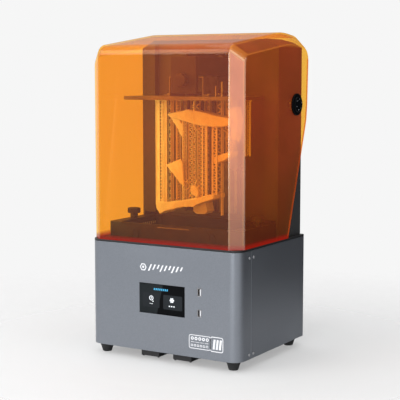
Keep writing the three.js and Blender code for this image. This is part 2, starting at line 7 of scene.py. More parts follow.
import bmesh
import bpy
from mathutils import Matrix, Vector


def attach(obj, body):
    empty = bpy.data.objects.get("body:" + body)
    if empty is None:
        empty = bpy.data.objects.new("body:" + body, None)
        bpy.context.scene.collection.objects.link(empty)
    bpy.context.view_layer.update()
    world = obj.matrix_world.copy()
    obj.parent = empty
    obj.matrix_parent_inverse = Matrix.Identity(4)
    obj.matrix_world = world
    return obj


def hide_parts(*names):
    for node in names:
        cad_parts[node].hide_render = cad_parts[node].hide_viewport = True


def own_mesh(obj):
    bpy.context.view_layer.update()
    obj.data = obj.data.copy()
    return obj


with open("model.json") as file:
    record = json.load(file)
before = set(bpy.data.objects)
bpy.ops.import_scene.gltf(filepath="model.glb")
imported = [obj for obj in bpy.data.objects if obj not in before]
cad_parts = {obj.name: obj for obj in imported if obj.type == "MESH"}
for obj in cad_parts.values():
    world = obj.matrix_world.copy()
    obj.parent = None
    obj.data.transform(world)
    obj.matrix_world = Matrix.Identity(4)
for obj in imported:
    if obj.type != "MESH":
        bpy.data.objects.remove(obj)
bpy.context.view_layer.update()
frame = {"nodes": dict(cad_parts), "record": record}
NODES = frame["nodes"]
MM = 0.001


# ---------------------------------------------------------------- materials
def rgb(r, g, b):
    """Linear colour from screen values."""
    linear = (((c / 255 + 0.055) / 1.055) ** 2.4 if c > 10 else c / 255 / 12.92 for c in (r, g, b))
    return (*linear, 1.0)


class Shader:
    """A small helper that builds one node material."""

    def __init__(self, name):
        self.material = bpy.data.materials.new(name)
        self.material.use_nodes = True
        self.tree = self.material.node_tree
        self.tree.nodes.clear()
        self.output = self.node("ShaderNodeOutputMaterial")

    def node(self, kind, **settings):
        made = self.tree.nodes.new(kind)
        for key, value in settings.items():
            setattr(made, key, value)
        return made

    def link(self, source, target):
        self.tree.links.new(source, target)

    def coords(self, scale=(1, 1, 1)):
        """Object coordinates in metres, stretched by scale."""
        place = self.node("ShaderNodeTexCoord")
        mapping = self.node("ShaderNodeMapping")
        mapping.inputs["Scale"].default_value = scale
        self.link(place.outputs["Object"], mapping.inputs["Vector"])
        return mapping.outputs["Vector"]

    def noise(self, scale, detail=4, stretch=(1, 1, 1), roughness=0.5):
        made = self.node("ShaderNodeTexNoise")
        made.inputs["Scale"].default_value = scale
        made.inputs["Detail"].default_value = detail
        made.inputs["Roughness"].default_value = roughness
        self.link(self.coords(stretch), made.inputs["Vector"])
        return made.outputs["Fac"]

    def ramp(self, source, low, high, start=0.3, end=0.7):
        """Spreads a 0 to 1 value over low to high, both numbers or both colours."""
        if isinstance(low, (int, float)):
            made = self.node("ShaderNodeMapRange")
            for key, value in zip(("From Min", "From Max", "To Min", "To Max"), (start, end, low, high)):
                made.inputs[key].default_value = value
            self.link(source, made.inputs["Value"])
            return made.outputs["Result"]
        made = self.node("ShaderNodeValToRGB")
        made.color_ramp.elements[0].position, made.color_ramp.elements[1].position = start, end
        made.color_ramp.elements[0].color, made.color_ramp.elements[1].color = low, high
        self.link(source, made.inputs["Fac"])
        return made.outputs["Color"]

    def times(self, first, second):
        made = self.node("ShaderNodeMath", operation="MULTIPLY")
        self.link(first, made.inputs[0])
        self.link(second, made.inputs[1])
        return made.outputs[0]

    def mixed(self, share, first, second):
        made = self.node("ShaderNodeMixShader")
        if isinstance(share, float):
            made.inputs["Fac"].default_value = share
        else:
            self.link(share, made.inputs["Fac"])
        self.link(first, made.inputs[1])
        self.link(second, made.inputs[2])
        return made.outputs[0]

    def sheen(self, front, edge, power):
        """Share of mirrored light, from the surface seen straight on to its edge, on both sides alike."""
        facing = self.node("ShaderNodeLayerWeight")
        facing.inputs["Blend"].default_value = 0.5
        curve = self.node("ShaderNodeMath", operation="POWER")
        curve.inputs[1].default_value = power
        self.link(facing.outputs["Facing"], curve.inputs[0])
        return self.ramp(curve.outputs[0], front, edge, 0, 1)

    def bump(self, height, distance, strength=1.0, under=None):
        made = self.node("ShaderNodeBump")
        made.inputs["Distance"].default_value = distance
        made.inputs["Strength"].default_value = strength
        self.link(height, made.inputs["Height"])
        if under is not None:
            self.link(under, made.inputs["Normal"])
        return made.outputs["Normal"]

    def principled(self, **values):
        made = self.node("ShaderNodeBsdfPrincipled")
        for key, value in values.items():
            socket = made.inputs[key.replace("_", " ")]
            if isinstance(value, bpy.types.NodeSocket):
                self.link(value, socket)
            else:
                socket.default_value = value
        return made

    def done(self, surface):
        self.link(surface, self.output.inputs["Surface"])
        return self.material


def painted_metal(name, dark, light, metallic, rough, grain=1400):
    """Powder coat: fine speckle, slight cloudiness and an orange-peel bump."""
    s = Shader(name)
    cloud = s.noise(9, 3)
    speckle = s.noise(grain, 2)
    colour = s.ramp(speckle, dark, light, 0.25, 0.75)
    roughness = s.ramp(cloud, rough - 0.04, rough + 0.05)
    peel = s.bump(s.noise(520, 2), 0.00006, 0.5)
    normal = s.bump(speckle, 0.00002, 0.35, peel)
    shader = s.principled(Base_Color=colour, Metallic=metallic, Roughness=roughness, Normal=normal)
    return s.done(shader.outputs[0])


def moulded_plastic(name, dark, light, rough, texture=900, depth=0.00004):
    s = Shader(name)
    grain = s.noise(texture, 3)
    colour = s.ramp(s.noise(35, 4), dark, light)
    roughness = s.ramp(s.noise(60, 3), rough - 0.05, rough + 0.07)
    shader = s.principled(Base_Color=colour, Roughness=roughness, Normal=s.bump(grain, depth, 0.5))
    return s.done(shader.outputs[0])


def gloss_black(name, dark=rgb(6, 7, 8), light=rgb(12, 13, 15)):
    s = Shader(name)
    smear = s.ramp(s.noise(30, 5), 0.06, 0.16)
    colour = s.ramp(s.noise(12, 2), dark, light)
    shader = s.principled(Base_Color=colour, Roughness=smear, Specular_IOR_Level=0.05)
    return s.done(shader.outputs[0])


def brushed(name, dark, light, rough, along=(1, 1, 1), depth=0.00002):
    """Metal with fine lines along the axis whose stretch is small."""
    s = Shader(name)
    lines = s.noise(1600, 3, along)
    colour = s.ramp(lines, dark, light)
    roughness = s.ramp(lines, rough - 0.07, rough + 0.1)
    normal = s.bump(lines, depth, 0.5)
    shader = s.principled(Base_Color=colour, Metallic=1.0, Roughness=roughness, Normal=normal)
    return s.done(shader.outputs[0])


def blasted(name, dark, light, rough, metallic=1.0):
    """Bead-blasted or sand-blasted metal."""
    s = Shader(name)
    pits = s.noise(700, 2)
    colour = s.ramp(s.noise(40, 4), dark, light)
    roughness = s.ramp(s.noise(25, 3), rough - 0.06, rough + 0.08)
    normal = s.bump(pits, 0.00001, 0.3)
    shader = s.principled(Base_Color=colour, Metallic=metallic, Roughness=roughness, Normal=normal)
    return s.done(shader.outputs[0])


def rubber_material():
    s = Shader("rubber")
    dust = s.ramp(s.noise(70, 5), rgb(17, 18, 19), rgb(34, 35, 36))
    shader = s.principled(Base_Color=dust, Roughness=s.ramp(s.noise(50, 3), 0.6, 0.8),
                          Normal=s.bump(s.noise(1500, 2), 0.00005, 0.5))
    return s.done(shader.outputs[0])


def circuit_board():
    s = Shader("circuit_board")
    tracks = s.node("ShaderNodeTexBrick")
    tracks.inputs["Scale"].default_value = 120
    tracks.inputs["Color1"].default_value = rgb(18, 74, 44)
    tracks.inputs["Color2"].default_value = rgb(22, 88, 52)
    tracks.inputs["Mortar"].default_value = rgb(150, 120, 50)
    s.link(s.coords(), tracks.inputs["Vector"])
    shader = s.principled(Base_Color=tracks.outputs["Color"], Roughness=0.45)
    return s.done(shader.outputs[0])


def cured_resin():
    """Pale cured resin with fine layer lines and a little light passing through."""
    s = Shader("cured_resin")
    layers = s.node("ShaderNodeTexWave", bands_direction="Z")
    layers.inputs["Scale"].default_value = 380
    layers.inputs["Distortion"].default_value = 0.3
    s.link(s.coords(), layers.inputs["Vector"])
    colour = s.ramp(s.noise(55, 4), rgb(240, 230, 216), rgb(252, 246, 236))
    shader = s.principled(Base_Color=colour, Roughness=0.42,
                          Normal=s.bump(layers.outputs["Fac"], 0.00008, 0.35))
    glow = s.node("ShaderNodeBsdfTranslucent")
    s.link(colour, glow.inputs["Color"])
    return s.done(s.mixed(0.25, shader.outputs[0], glow.outputs[0]))


def tinted_acrylic(name, tint, body, haze, rough, glow_band=None, mirror=(0.02, 0.5), glow=0.0):
    """Clear tinted sheet: what is behind shows through with the tint, under a gloss and a slight haze that
    glows a little: the haze carries a painted glow, an emission in the haze's colour. A glow band is (height
    in metres, depth, colour): a painted glow, an emission in that colour, along the sheet's lower edge, where
    its colour gathers. A sheet with a glow band also has less haze, and so less painted glow, low down and to
    the left, as the photo shows. The mirror shares are for the sheet seen straight on and at its edge."""
    s = Shader(name)
    facing = s.node("ShaderNodeLayerWeight")
    facing.inputs["Blend"].default_value = 0.5
    clear = s.node("ShaderNodeBsdfTransparent")
    deeper = tuple(c * c for c in tint)
    s.link(s.ramp(facing.outputs["Facing"], tint, deeper, 0.35, 1.0), clear.inputs["Color"])
    milk = s.node("ShaderNodeBsdfDiffuse")
    milk.inputs["Color"].default_value = body
    # Painted glow: the haze gives off its own colour as light, though no lamp is there.
    light = s.node("ShaderNodeEmission")
    light.inputs["Color"].default_value = body
    light.inputs["Strength"].default_value = glow
    both = s.node("ShaderNodeAddShader")
    s.link(milk.outputs[0], both.inputs[0])
    s.link(light.outputs[0], both.inputs[1])
    share = s.ramp(s.noise(14, 3), haze * 0.85, haze * 1.15)
    if glow_band:
        low, deep, colour = glow_band
        split = s.node("ShaderNodeSeparateXYZ")
        s.link(s.coords(), split.inputs[0])
        # Less haze, and with it less painted glow, low down and to the left.
        share = s.times(share, s.ramp(split.outputs["Z"], 0.35, 1.0, 0.24, 0.44))
        share = s.times(share, s.ramp(split.outputs["X"], 0.4, 1.0, -0.16, 0.02))
    through = s.mixed(share, clear.outputs[0], both.outputs[0])
    if glow_band:
        # Painted glow along the lower edge: an emission in the band's colour.
        edge = s.node("ShaderNodeEmission")
        edge.inputs["Color"].default_value = colour
        edge.inputs["Strength"].default_value = 0.5
        through = s.mixed(s.ramp(split.outputs["Z"], 0.7, 0.0, low, low + deep), through, edge.outputs[0])
    gloss = s.node("ShaderNodeBsdfGlossy")
    gloss.inputs["Color"].default_value = (1, 1, 1, 1)
    s.link(s.ramp(s.noise(40, 4), rough * 0.7, rough * 1.4), gloss.inputs["Roughness"])
    return s.done(s.mixed(s.sheen(*mirror, 4), through, gloss.outputs[0]))


def lit_ink(name, colour, strength):
    """Screen elements that glow a little."""
    s = Shader(name)
    shade = s.ramp(s.noise(200, 2), colour, tuple(min(1.0, c * 1.15) for c in colour[:3]) + (1.0,))
    shader = s.principled(Base_Color=shade, Roughness=0.3, Emission_Color=shade, Emission_Strength=strength)
    return s.done(shader.outputs[0])


AMBER = (1.0, 0.84, 0.35, 1)
AMBER_DEEP = (1.0, 0.73, 0.36, 1)
# The haze colour is also the colour of the sheet's painted glow.
AMBER_HAZE_AND_GLOW = (1.0, 0.17, 0.08, 1)
# The glow band: a painted glow in deep red along the hood's lower edge.
AMBER_GLOW_BAND = (0.2263, 0.009, rgb(205, 30, 14))
MATERIALS = {
    "base_paint": painted_metal("base_paint", rgb(124, 129, 136), rgb(146, 151, 159), 0.85, 0.36),
    "tower_paint": painted_metal("tower_paint", rgb(55, 56, 57), rgb(74, 75, 76), 0.3, 0.45),
    "black_plastic": moulded_plastic("black_plastic", rgb(20, 20, 22), rgb(32, 32, 34), 0.42),
    "black_gloss": gloss_black("black_gloss"),
    # The hood's sheet, with a painted glow in its haze and a painted glow band along its lower edge.
    "amber_acrylic": tinted_acrylic("amber_acrylic", AMBER, AMBER_HAZE_AND_GLOW, 0.11, 0.05, AMBER_GLOW_BAND, glow=0.3),
    # A darker copy for the front wall: deeper tint, half the haze and little painted glow. This is painted
    # shade that evens out the key light falling on the front.
    "amber_front_painted_shade": tinted_acrylic("amber_front_painted_shade", AMBER_DEEP, AMBER_HAZE_AND_GLOW, 0.055, 0.05, AMBER_GLOW_BAND,
                                  glow=0.05),
    # A paler, hazier, glossier and glowing copy for the front chamfer strips: a painted highlight standing
    # for a softbox's reflection.
    "amber_chamfer_painted_highlight": tinted_acrylic("amber_chamfer_painted_highlight", AMBER, (1.0, 0.38, 0.23, 1), 0.44, 0.05, AMBER_GLOW_BAND,
                                    (0.07, 0.3), 0.3),
    # A paler, hazier copy for the creases beside the chamfers: painted highlight lines.
    "amber_crease_painted_highlight": tinted_acrylic("amber_crease_painted_highlight", AMBER, (1.0, 0.45, 0.25, 1), 0.3, 0.16, AMBER_GLOW_BAND,
                                   (0.1, 0.3), 0.2),
    # A redder, hazier, glowing copy for the cut rims: painted glow at the sheet's edges.
    "amber_edge_painted_glow": tinted_acrylic("amber_edge_painted_glow", (0.9, 0.45, 0.15, 1), (0.8, 0.16, 0.04, 1), 0.4, 0.12,
                                 glow=0.2),
    "aluminium": blasted("aluminium", rgb(118, 119, 122), rgb(146, 148, 151), 0.42),
    "dark_anodised": blasted("dark_anodised", rgb(38, 38, 41), rgb(58, 58, 62), 0.38, 0.6),
    "steel": brushed("steel", rgb(165, 166, 168), rgb(206, 207, 210), 0.3),
    "motor_black": blasted("motor_black", rgb(28, 28, 30), rgb(44, 44, 46), 0.5, 0.4),
    "brass": brushed("brass", rgb(168, 124, 56), rgb(206, 162, 84), 0.3),
    "rubber": rubber_material(),
    "circuit_board": circuit_board(),
    "supply_case": brushed("supply_case", rgb(140, 142, 145), rgb(176, 178, 180), 0.35, (1, 0.05, 1)),
    "cured_resin": cured_resin(),
    "clear_film": tinted_acrylic("clear_film", (0.93, 0.95, 0.97, 1), rgb(210, 215, 220), 0.05, 0.05),
    # A lighter copy of the glass black, for the painted reflection on the screen.
    "screen_painted_reflection": gloss_black("screen_painted_reflection", rgb(28, 32, 34), rgb(38, 42, 44)),
    "screen_tile": gloss_black("screen_tile", rgb(34, 37, 40), rgb(41, 44, 47)),
    "screen_white": lit_ink("screen_white", rgb(215, 220, 225), 0.5),
    "screen_teal": lit_ink("screen_teal", rgb(60, 150, 190), 0.35),
    "white_ink": moulded_plastic("white_ink", rgb(222, 224, 228), rgb(240, 241, 244), 0.4),
}
SLOT = {part["node"]: part["material_slot"] for part in frame["record"]["subparts"]}
BODY = {node: body for body, nodes in frame["record"]["behaviour"]["bodies"].items() for node in nodes}
for node, slot in SLOT.items():
    NODES[node].data.materials.clear()
    NODES[node].data.materials.append(MATERIALS[slot])


# ---------------------------------------------------------------- making pieces (in millimetres)
def made_object(name, mesh):
    made = bpy.data.objects.new(name, mesh)
    bpy.context.scene.collection.objects.link(made)
    return made


def from_bmesh(name, bm, scale=MM):
    bmesh.ops.recalc_face_normals(bm, faces=bm.faces)
    bm.transform(Matrix.Scale(scale, 4))
    mesh = bpy.data.meshes.new(name)
    bm.to_mesh(mesh)
    bm.free()
    return made_object(name, mesh)


def smooth(obj, angle=32):
    """Smooth shading, with edges sharp past the angle."""
    bm = bmesh.new()
    bm.from_mesh(obj.data)
    limit = math.radians(angle)
    for face in bm.faces:
        face.smooth = True
    for edge in bm.edges:
        edge.smooth = len(edge.link_faces) == 2 and edge.calc_face_angle(0) < limit
    bm.to_mesh(obj.data)
    bm.free()
    return obj


def level(obj):
    """Wide flat faces are shaded flat, and the narrow faces beside them take up the turn."""
    normals = obj.modifiers.new("level", "WEIGHTED_NORMAL")
    normals.weight = 100
    normals.keep_sharp = True
    return obj


def bevelled(obj, width, segments=2, angle=32):
    """Rounds every sharp edge and keeps the flat faces flat."""
    rounding = obj.modifiers.new("rounding", "BEVEL")
    rounding.width = width * MM
    rounding.segments = segments
    rounding.limit_method = "ANGLE"
    rounding.angle_limit = math.radians(angle)
    rounding.harden_normals = True
    for polygon in obj.data.polygons:
        polygon.use_smooth = True
    return level(obj)


def settled(obj):
    """Applies all modifiers."""
    bpy.context.view_layer.update()
    baked = bpy.data.meshes.new_from_object(obj.evaluated_get(bpy.context.evaluated_depsgraph_get()))
    obj.modifiers.clear()
    obj.data = baked
    return obj


def joined(name, parts):
    """One object from several, which are removed."""
    bm = bmesh.new()
    for part in parts:
        bm.from_mesh(settled(part).data)
        bpy.data.objects.remove(part)
    mesh = bpy.data.meshes.new(name)
    bm.to_mesh(mesh)
    bm.free()
    return made_object(name, mesh)


def dress(obj, body, slot, stands_for=(), finish=None):
    """Gives a piece its material and body; the material is the slot's own finish unless a finish is named."""
    obj.data.materials.clear()
    obj.data.materials.append(MATERIALS[finish or slot])
    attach(obj, body)
    if stands_for:
        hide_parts(*stands_for)
    return obj


def welded(node):
    """A copy of a CAD node's surface, as a bmesh in metres, with flat faces merged."""
    bm = bmesh.new()
    bm.from_mesh(NODES[node].data)
    bmesh.ops.remove_doubles(bm, verts=bm.verts, dist=2e-6)
    bmesh.ops.dissolve_limit(bm, angle_limit=math.radians(0.5), verts=bm.verts, edges=bm.edges)
    return bm


def refined(node, width, segments=2, angle=32):
    """A copy of a CAD node with rounded edges, which stands for it."""
    made = from_bmesh(f"{node}_fine", welded(node), 1)
    bevelled(made, width, segments, angle)
    return dress(made, BODY[node], SLOT[node], (node,))


def lathe(name, rows, axis, centre, segments=48):
    """A body of revolution round an axis through the centre. A row is (radius, place along the axis), and a
    third value is a function of the angle that scales the radius."""
    bm = bmesh.new()
    rings = []
    for radius, place, *shape in rows:
        if radius < 1e-7:
            rings.append([bm.verts.new((0, 0, place))])
            continue
        turns = [2 * math.pi * i / segments for i in range(segments)]
        sizes = [radius * shape[0](a) if shape else radius for a in turns]
        points = [(r * math.cos(a), r * math.sin(a), place) for r, a in zip(sizes, turns)]
        rings.append([bm.verts.new(point) for point in points])
    for low, high in zip(rings, rings[1:]):
        for i in range(segments):
            j = (i + 1) % segments
            corners = [low[i % len(low)], low[j % len(low)], high[j % len(high)], high[i % len(high)]]
            corners = list(dict.fromkeys(corners))
            if len(corners) > 2:
                bm.faces.new(corners)
    turn = Vector((0, 0, 1)).rotation_difference(Vector(axis)).to_matrix().to_4x4()
    bm.transform(Matrix.Translation(centre) @ turn)
    return smooth(from_bmesh(name, bm))


def eased(rows, radius, steps=3):
    """The same profile with its corners rounded."""
    made = [rows[0]]
    for before, corner, after in zip(rows, rows[1:], rows[2:]):
        p, c, n = Vector(before), Vector(corner), Vector(after)
        r = min(radius, (p - c).length * 0.45, (n - c).length * 0.45)
        start, end = c + (p - c).normalized() * r, c + (n - c).normalized() * r
        for i in range(steps + 1):
            t = i / steps
            made.append(tuple(start * (1 - t) ** 2 + c * 2 * t * (1 - t) + end * t * t))
    return made + [rows[-1]]


PLACES = {"z": lambda a, b, t: (a, b, t), "y": lambda a, b, t: (a, t, b), "x": lambda a, b, t: (t, a, b)}


def slab(name, outline, low, high, axis="z", hole=None):
    """An outline of points (a, b), pushed from low to high along an axis. A hole has as many points."""
    place = PLACES[axis]
    bm = bmesh.new()
    loops = [outline] + ([hole] if hole else [])
    rings = [[[bm.verts.new(place(a, b, t)) for a, b in loop] for t in (low, high)] for loop in loops]
    count = len(outline)
    for bottom, top in rings:
        for i in range(count):
            j = (i + 1) % count
            bm.faces.new([bottom[i], bottom[j], top[j], top[i]])
    for end in (0, 1):
        outer = rings[0][end]
        if not hole:
            bm.faces.new(outer)
            continue
        inner = rings[1][end]
        for i in range(count):
            j = (i + 1) % count
            bm.faces.new([outer[i], outer[j], inner[j], inner[i]])
    return from_bmesh(name, bm)


def box_outline(x0, x1, y0, y1, radius=0.0, steps=5):
    if radius <= 0:
        return [(x1, y1), (x0, y1), (x0, y0), (x1, y0)]
    points = []
    for cx, cy, start in ((x1 - radius, y1 - radius, 0), (x0 + radius, y1 - radius, 90),
                          (x0 + radius, y0 + radius, 180), (x1 - radius, y0 + radius, 270)):
        for i in range(steps + 1):
            a = math.radians(start + 90 * i / steps)
            points.append((cx + radius * math.cos(a), cy + radius * math.sin(a)))
    return points


def ring_outline(cx, cy, radius, sides=24):
    turns = [2 * math.pi * i / sides for i in range(sides)]
    return [(cx + radius * math.cos(a), cy + radius * math.sin(a)) for a in turns]


def beam(bm, start, end, width, depth=None):
    """Adds a square bar between two points."""
    a, b = Vector(start), Vector(end)
    along = (b - a).normalized()
    side = along.cross(Vector((0, 1, 0)) if abs(along.y) < 0.9 else Vector((1, 0, 0))).normalized()
    out = along.cross(side)
    side, out = side * width / 2, out * (depth or width) / 2
    corners = ((1, 1), (-1, 1), (-1, -1), (1, -1))
    ends = [[bm.verts.new(p + side * i + out * j) for i, j in corners] for p in (a, b)]
    for i in range(4):
        j = (i + 1) % 4
        bm.faces.new([ends[0][i], ends[0][j], ends[1][j], ends[1][i]])
    bm.faces.new(ends[0][::-1])
    bm.faces.new(ends[1])


def hexagon(angle):
    """Scales a ring of radius 1 to a hexagon of half-width 1."""
    return 1 / math.cos((angle + math.pi / 6) % (math.pi / 3) - math.pi / 6)


def socket_screw(name, centre, axis, radius, height):
    """A button head with a hex socket. The axis points out of the head."""
    rim, socket_floor = radius * 0.5, height * 0.4
    head = [(0, 0), (radius, 0), (radius, height * 0.45), (radius * 0.8, height), (rim, height)]
    rows = eased(head, height * 0.3)[:-1]
    rows += [(rim, height, hexagon), (radius * 0.46, socket_floor, hexagon), (0, socket_floor)]
    return lathe(name, rows, axis, centre, 36)


# ---------------------------------------------------------------- camera, floor and light
EYE = (1.13264, -1.87958, 0.53851)
LOOKING_DOWN, LOOKING_LEFT = 6.30, 31.07
LENS = 100.63


def set_camera():
    camera = bpy.data.objects.new("camera", bpy.data.cameras.new("camera"))
    bpy.context.scene.collection.objects.link(camera)
    camera.location = EYE
    camera.rotation_euler = (math.radians(90 - LOOKING_DOWN), 0, math.radians(LOOKING_LEFT))
    camera.data.lens = LENS
    camera.data.sensor_width = 36
    bpy.context.scene.camera = camera


def area_light(name, place, target, size, power, colour=(1, 1, 1)):
    light = bpy.data.objects.new(name, bpy.data.lights.new(name, "AREA"))
    bpy.context.scene.collection.objects.link(light)
    light.data.shape = "RECTANGLE"
    light.data.size, light.data.size_y = size
    light.data.energy = power
    light.data.color = colour
    light.location = place
    light.rotation_euler = (Vector(target) - Vector(place)).to_track_quat("-Z", "Y").to_euler()
    return light


PALE = 0.922


def set_studio():
    world = bpy.data.worlds.new("studio")
    bpy.context.scene.world = world
    world.use_nodes = True
    tree = world.node_tree
    tree.nodes.clear()
    output = tree.nodes.new("ShaderNodeOutputWorld")
    seen = tree.nodes.new("ShaderNodeBackground")
    seen.inputs["Color"].default_value = (PALE, PALE, PALE, 1)
    # The room that lights the object is dim on the right behind it.
    place = tree.nodes.new("ShaderNodeTexCoord")
    split = tree.nodes.new("ShaderNodeVectorMath")
    split.operation = "DOT_PRODUCT"
    split.inputs[1].default_value = (0.515, 0.857, 0.0)
    tree.links.new(place.outputs["Generated"], split.inputs[0])
    ramp = tree.nodes.new("ShaderNodeValToRGB")
    ramp.color_ramp.elements[0].position = 0.2
    ramp.color_ramp.elements[0].color = (0.86, 0.86, 0.87, 1)
    ramp.color_ramp.elements[1].position = 0.8
    ramp.color_ramp.elements[1].color = (0.05, 0.05, 0.055, 1)
    tree.links.new(split.outputs["Value"], ramp.inputs["Fac"])
    lit = tree.nodes.new("ShaderNodeBackground")
    lit.inputs["Strength"].default_value = 0.95
    tree.links.new(ramp.outputs["Color"], lit.inputs["Color"])
    path = tree.nodes.new("ShaderNodeLightPath")
    mix = tree.nodes.new("ShaderNodeMixShader")
    tree.links.new(path.outputs["Is Camera Ray"], mix.inputs["Fac"])
    tree.links.new(lit.outputs[0], mix.inputs[1])
    tree.links.new(seen.outputs[0], mix.inputs[2])
    tree.links.new(mix.outputs[0], output.inputs["Surface"])

    floor = slab("studio_floor", ring_outline(0, 0, 1600, 64), -6, 0)
    s = Shader("floor")
    far = s.node("ShaderNodeTexCoord")
    length = s.node("ShaderNodeVectorMath", operation="LENGTH")
    s.link(far.outputs["Object"], length.inputs[0])
    fade = s.ramp(length.outputs["Value"], 0.6, 1.0, 0.3, 1.0)
    grey = s.ramp(s.noise(300, 3), (0.77, 0.77, 0.77, 1), (0.79, 0.79, 0.79, 1))
    paper = s.principled(Base_Color=grey, Roughness=0.6)
    gone = s.node("ShaderNodeBsdfTransparent")
    floor.data.materials.append(s.done(s.mixed(fade, paper.outputs[0], gone.outputs[0])))

    area_light("key_left", (-1.25, -1.85, 1.7), (0, 0, 0.35), (1.7, 1.7), 33)
    area_light("softbox_front", (0.63, -2.52, 0.9), (0.1, -0.1, 0.4), (0.9, 1.6), 19)
    area_light("side_right", (2.0, -0.25, 1.7), (0.1, 0, 0.4), (1.0, 1.0), 3)
    area_light("overhead", (0, 0, 2.6), (0, 0, 0), (2.2, 2.2), 24)
    # A blue-green light inside the hood makes up for the amber that the print is seen through.
    inside = area_light("inside_fill", (-0.125, -0.125, 0.40), (0.0, -0.04, 0.385), (0.05, 0.30), 0.26,
                        (0.3, 1, 0.92))
    inside.visible_camera = False
    inside.visible_glossy = False


# ---------------------------------------------------------------- base
FRONT = -139.0
HALF = 166.5
BASE_REAR = 131.0
SIDES = (("left", -1), ("right", 1))


def make_base():
    for node, width in (("front_panel", 0.45), ("left_side_panel", 0.45), ("right_side_panel", 0.45),
                        ("rear_panel", 0.4), ("bottom_plate", 0.3), ("deck_plate", 0.5)):
        refined(node, width)
    for side, sign in SIDES:
        for place, y, z in (("upper_front", -100.7, 208), ("upper_rear", -84.7, 208),
                            ("lower_front", -100.7, 27), ("lower_rear", -84.7, 27)):
            node = f"{side}_screw_{place}"
            head = socket_screw(f"{node}_head", (sign * (HALF + 0.3), y, z), (sign, 0, 0), 2.8, 1.3)
            dress(head, "base", "steel", (node,))
    rows = [(0, 0.8), (6.4, 0.8), (6.8, 0), (8.2, 0), (9, 0.8), (11.2, 8), (13.5, 14.5), (13.5, 17.7),
            (0, 17.7)]
    for end, y in (("front", -117), ("rear", 109)):
        for side, sign in SIDES:
            node = f"foot_{end}_{side}"
            foot = lathe(f"{node}_fine", eased(rows, 0.7), (0, 0, 1), (sign * 143, y, 0))
            dress(foot, "base", "rubber", (node,))


INK = (FRONT - 0.12, FRONT + 0.2)


def make_front_ornament():
    """A hexagon with a row of slanted stripes, and a framed plate of cells, dashes and bars, in white."""
    parts = [slab("cell", ring_outline(-42, 179.3, 7.6, 6), *INK, "y", ring_outline(-42, 179.3, 5.4, 6)),
             slab("cell", ring_outline(-42, 179.3, 2.6, 6), *INK, "y")]
    for i in range(9):
        x, low = -31.5 + 8.6 * i, 173 + 2.6 * (i % 3)
        parts.append(slab("stripe", [(x + 6.6, 186), (x + 9.8, 186), (x + 9.8 - (186 - low) / 2, low),
                                     (x + 6.6 - (186 - low) / 2, low)], *INK, "y"))
    dress(joined("front_stripes", parts), "base", "base_paint", finish="white_ink")

    parts = [slab("frame", box_outline(59.8, 107.2, 35.2, 61.6, 4), *INK, "y",
                  box_outline(61.1, 105.9, 36.5, 60.3, 2.7)),
             slab("frame", box_outline(105.9, 133.6, 34, 62.5, 4), *INK, "y",
                  box_outline(107.4, 132.1, 35.5, 61.0, 2.5))]
    for i in range(5):
        x = 67.2 + 8.1 * i
        parts.append(slab("cell", ring_outline(x, 54.8, 3.5, 6), *INK, "y", ring_outline(x, 54.8, 1.5, 6)))
    for i in range(4):
        x = 64 + 10 * i
        parts.append(slab("dash", box_outline(x, x + 8.4, 47.4, 48.2), *INK, "y"))
    for i in range(6):
        x = 64 + 6.6 * i
        hole = box_outline(x + 0.9, x + 3.5, 40.5, 42.7)
        parts.append(slab("dash", box_outline(x, x + 4.4, 39.6, 43.6), *INK, "y", hole))
    for i in range(3):
        x = 111 + 6.6 * i
        parts.append(slab("bar", [(x + 2.2, 57.5), (x + 6.6, 57.5), (x + 4.4, 38.8), (x, 38.8)], *INK, "y"))
    dress(joined("front_badge", parts), "base", "base_paint", finish="white_ink")


def make_screen():
    glass = slab("touch_screen_glass_fine", box_outline(-50.5, 50, 91.5, 148.5, 0.8),
                 FRONT + 0.1, FRONT + 1.7, "y")
    bevelled(glass, 0.25)
    dress(glass, "base", "black_gloss", ("touch_screen_glass",))
    refined("display_module", 0.5)
    face = (FRONT - 0.02, FRONT + 0.14)
    # The lighter diagonal field on the left of the glass is a painted reflection.
    sheen = [(-50.1, 148.1), (2.2, 148.1), (-11.4, 91.9), (-50.1, 91.9)]
    painted_reflection = slab("screen_left_painted_reflection", sheen, FRONT + 0.05, FRONT + 0.14, "y")
    dress(painted_reflection, "base", "black_gloss", finish="screen_painted_reflection")
    tiles = [slab("tile", box_outline(-43, -5.5, 103.5, 131, 2), *face, "y"),
             slab("tile", box_outline(3, 45, 102.5, 130, 2), *face, "y")]
    dress(joined("screen_tiles", tiles), "base", "black_gloss", finish="screen_tile")
    icon = (FRONT - 0.08, FRONT + 0.1)
    parts = [slab("icon", ring_outline(-24, 121.2, 4.6), *icon, "y", ring_outline(-24, 121.2, 3.4)),
             slab("icon", box_outline(-24.6, -23.4, 119.5, 123.5), *icon, "y"),
             slab("icon", box_outline(-21.6, -18.6, 114.6, 116.0), *icon, "y")]
    parts += [slab("label", box_outline(-27.2 + 2.4 * i, -25.6 + 2.4 * i, 109.9, 111), *icon, "y")
              for i in range(3)]
    for i in range(6):
        a = math.pi / 3 * i
        x, z = 22.3 + 3.4 * math.cos(a), 120.8 + 3.4 * math.sin(a)
        parts.append(slab("icon", ring_outline(x, z, 1.5, 12), *icon, "y"))
    parts.append(slab("icon", ring_outline(22.3, 120.8, 2.2, 16), *icon, "y"))
    parts += [slab("label", box_outline(15.6 + 5 * i, 18.2 + 5 * i, 108.2, 110.2), *icon, "y")
              for i in range(3)]
    dress(joined("screen_icons", parts), "base", "black_gloss", finish="screen_white")
    bars = [slab("bar", [(x + 1, 141), (x + 3.4, 141), (x + 2.4, 137.2), (x, 137.2)], *icon, "y")
            for x in (-18.5 + 4.1 * i for i in range(8))]
    dress(joined("screen_mark", bars), "base", "black_gloss", finish="screen_teal")


